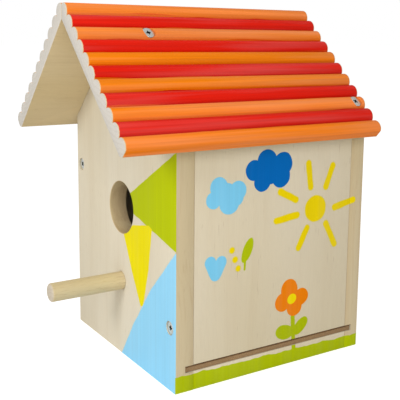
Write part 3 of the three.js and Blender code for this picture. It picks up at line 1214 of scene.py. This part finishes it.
hardboardLook = {
    "pale": shade(158, 129, 94),
    "dark": shade(132, 104, 74),
    "shreds": shade(190, 160, 126),
    "skin": shade(116, 86, 57),  # the pressed top face, and a painted shadow line along the top of the edge, shaded by the slot above
    "mottle": shade(94, 68, 44),
    "feltGrain": (1.8, 1.8, 5),
    "shredGrain": (0.5, 2.6, 2.6),
    "mottleGrain": (0.7, 0.7, 0.7),
    "toneGrain": (0.03, 0.03, 0.03),
    "toneSwing": (0.95, 1.05),
    "skinAndShadowDepth": (0.5, 0.2),  # mm below the top, over which the pressed skin and the painted shadow line begin
    "skinAndShadowShare": 0.85,
    "shredShare": 0.5,
    "roughness": (0.72, 0.9),
    "relief": 0.12 * mm,
}


def hardboardFinish():
    look = hardboardLook
    finish, tree, surface, point = newFinish("rawHardboard")
    felt = cloudy(tree, point, look["feltGrain"], 4, 0.65)
    shreds = cloudy(tree, point, look["shredGrain"])
    mottle = cloudy(tree, point, look["mottleGrain"], 4, 0.7)
    tone = cloudy(tree, point, look["toneGrain"], 1)
    colour = mix(tree, ease(tree, felt, 0.35, 0.65), look["pale"], look["dark"])
    colour = mix(tree, faint(tree, shreds, 0.6, 0.7, look["shredShare"]), colour, look["shreds"])
    colour = lighten(tree, colour, remap(tree, tone, 0.3, 0.7, *look["toneSwing"]))
    low, high = (floorHigh.z / mm - depth for depth in look["skinAndShadowDepth"])
    height = calc(tree, "MULTIPLY_ADD", felt, 0.5, split(tree, point)[2])
    # The darker pressed skin covers the top face and runs a little down the edge as a painted shadow line
    # under the slot's gap
    skinAndShadow = mix(tree, ease(tree, mottle, 0.38, 0.62), look["skin"], look["mottle"])
    colour = mix(tree, faint(tree, height, low, high, look["skinAndShadowShare"]), colour, skinAndShadow)
    roughness = remap(tree, felt, 0.3, 0.7, *look["roughness"])
    layer = {"Colour": colour, "Roughness": roughness, "Height": felt}
    finishSurface(tree, surface, layer, look["relief"], 0.1)
    return finish


dowelLook = {
    "figure": 0.7,
    "ticks": (2.3, 2.3, 0.24),  # short dark pores along the grain
    "tickShare": 0.26,
    "pith": (3, 33),
    "endBlend": (0.25, 0.9),
    "relief": 0.12 * mm,
}


def dowelFinish():
    look = dowelLook
    finish, tree, surface, point = newFinish("turnedDowel")
    x, y, z = split(tree, point)
    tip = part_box("perch")[0].y / mm
    grained = join(tree, x, z, y)
    wood = grainLayer(tree, grained, 7.4, "dowelPale", "dowelDark", look["figure"])
    ticks = faint(tree, cloudy(tree, grained, look["ticks"]), 0.58, 0.7, look["tickShare"])
    turned = {"Colour": mix(tree, ticks, wood["Colour"], woodTones["dowelTick"]),
              "Roughness": wood["Roughness"], "Height": wood["Height"]}
    sawn = endLayer(tree, join(tree, x, z, 0), look["pith"], 3.1, "dowelEndPale", "dowelEndDark")
    endMask = ease(tree, calc(tree, "SUBTRACT", y, tip), *look["endBlend"], 1, 0)
    finishSurface(tree, surface, blendLayers(tree, endMask, turned, sawn), look["relief"], 0.3)
    return finish


zincTones = {
    "brightZinc": {"bright": shade(228, 232, 232), "warm": shade(216, 218, 208),
                   "scuff": shade(164, 170, 172), "polished": 0.2, "dull": 0.38},
    # The recess zinc is painted dark: painted shade where the cross recess lies in shadow
    "recessShadeZinc": {"bright": shade(58, 76, 82), "warm": shade(74, 82, 78),
                   "scuff": shade(34, 42, 46), "polished": 0.45, "dull": 0.7},
}
zincLook = {
    "patches": (0.5, 0.5, 0.5),
    "scuffs": (9, 9, 1.2),
    "scuffShare": 0.4,
    "relief": 0.02 * mm,
}


def zincFinish(name):
    tones = zincTones[name]
    finish, tree, surface, point = newFinish(name)
    patches = cloudy(tree, point, zincLook["patches"])
    scuffs = cloudy(tree, point, zincLook["scuffs"], 2, 0.6)
    colour = mix(tree, ease(tree, patches, 0.4, 0.6), tones["bright"], tones["warm"])
    colour = mix(tree, faint(tree, scuffs, 0.6, 0.75, zincLook["scuffShare"]), colour, tones["scuff"])
    surface.inputs["Metallic"].default_value = 1
    roughness = remap(tree, scuffs, 0.3, 0.7, tones["polished"], tones["dull"])
    layer = {"Colour": colour, "Roughness": roughness, "Height": scuffs}
    finishSurface(tree, surface, layer, zincLook["relief"], 0.5)
    return finish


def wear(piece, finish):
    piece.data.materials.clear()
    piece.data.materials.append(finish)


wear(frontPanel, boardFinish("frontPanelPine", 1.0, "pale", edged=True, hole=True,
                             front=frontPicture, side=grassPicture))
wear(backPanel, boardFinish("backPanelPine", 2.0, "pale", edged=True, side=sidePicture))
wear(rightWall, boardFinish("rightWallPine", 3.0, "sidePale", side=sidePicture))
wear(leftWall, boardFinish("leftWallPine", 5.0, "sidePale"))
wear(rail, boardFinish("railPine", 6.0, "sidePale", side=sidePicture))
wear(floorBoard, hardboardFinish())
wear(perch, dowelFinish())
roofPaint = roofFinish()
wear(rightRoof, roofPaint)
wear(leftRoof, roofPaint)
zincFinishes = [zincFinish("brightZinc"), zincFinish("recessShadeZinc")]
for screw in screwPieces.values():
    for index, finish in enumerate(zincFinishes):
        screw.data.materials[index] = finish
print("finishes applied")


for piece, node in ((frontPanel, "front_panel"), (backPanel, "back_panel"), (rightWall, "right_wall"),
                    (leftWall, "left_wall"), (rail, "right_base_rail")):
    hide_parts(node)
    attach(piece, "house")
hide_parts("sliding_floor")
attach(floorBoard, "floor")
for piece, node in ((rightRoof, "right_roof_board"), (leftRoof, "left_roof_board")):
    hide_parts(node)
    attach(piece, "house")
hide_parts("perch")
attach(perch, "house")
for node, piece in screwPieces.items():
    piece.name = node + "_finished"
    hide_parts(node)
    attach(piece, "house")


studio = {
    "floorSize": 40,
    "floorShade": (0.84, 0.84, 0.84, 1),
    "floorGlow": 0.5,
    "skyLight": 0.6,
    "key": {"spot": (1.3, -0.5, 0.75), "size": 1.0, "watts": 8.2},
    "front": {"spot": (0.25, -1.1, 0.66), "size": 0.4, "watts": 5.2},
}

cameraSetup = {
    "spot": (0.36655, -0.21978, 0.17645),
    "azimuth": 57.843,
    "elevation": 8.503,
    "roll": 0.499,
    "lens": 67.58,
    "shiftY": -0.12,
}


def areaLight(name, settings):
    leaveAll()
    bpy.ops.object.light_add(type="AREA", location=settings["spot"])
    lamp = bpy.context.object
    lamp.name = name
    lamp.data.shape = "DISK"
    lamp.data.size = settings["size"]
    lamp.data.energy = settings["watts"]
    target = Vector((0, 0, (cadBox[0][2] + cadBox[1][2]) / 2))
    lamp.rotation_euler = (target - lamp.location).to_track_quat("-Z", "Y").to_euler()
    return lamp


def setStudio():
    leaveAll()
    bpy.ops.mesh.primitive_plane_add(size=studio["floorSize"], location=(0, 0, cadBox[0][2]))
    ground = nameIt("studio_floor")
    coating = bpy.data.materials.new("palePaper")
    coating.use_nodes = True
    paper = coating.node_tree
    surface = paper.nodes["Principled BSDF"]
    surface.inputs["Base Color"].default_value = studio["floorShade"]
    surface.inputs["Roughness"].default_value = 0.9
    surface.inputs["Emission Strength"].default_value = studio["floorGlow"]
    seen = put(paper, "LightPath", {}).outputs["Is Camera Ray"]  # only whitens what the camera sees
    feed(paper, surface.inputs["Emission Color"], mix(paper, seen, (0, 0, 0, 1), (1, 1, 1, 1)))
    ground.data.materials.append(coating)
    world = bpy.data.worlds.new("studioSky")
    bpy.context.scene.world = world
    world.use_nodes = True
    sky = world.node_tree
    backdrop = sky.nodes["Background"]
    backdrop.inputs["Color"].default_value = (1, 1, 1, 1)
    seen = put(sky, "LightPath", {}).outputs["Is Camera Ray"]
    feed(sky, backdrop.inputs["Strength"], remap(sky, seen, 0, 1, studio["skyLight"], 1))
    areaLight("key_light", studio["key"])
    areaLight("front_light", studio["front"])
    bpy.context.scene.view_settings.view_transform = "Standard"


def setCamera():
    leaveAll()
    bpy.ops.object.camera_add(location=cameraSetup["spot"])
    camera = bpy.context.object
    camera.name = "main_camera"
    azimuth = radians(cameraSetup["azimuth"])
    elevation = radians(cameraSetup["elevation"])
    ahead = Vector((-sin(azimuth) * cos(elevation), cos(azimuth) * cos(elevation), -sin(elevation)))
    level = ahead.to_track_quat("-Z", "Y")
    roll = Quaternion((0, 0, 1), radians(cameraSetup["roll"]))
    camera.rotation_euler = (level @ roll).to_euler()
    camera.data.lens = cameraSetup["lens"]
    camera.data.shift_y = cameraSetup["shiftY"]
    camera.data.clip_start = 0.01
    camera.data.clip_end = 100
    bpy.context.scene.camera = camera


setStudio()
setCamera()
print("studio set")
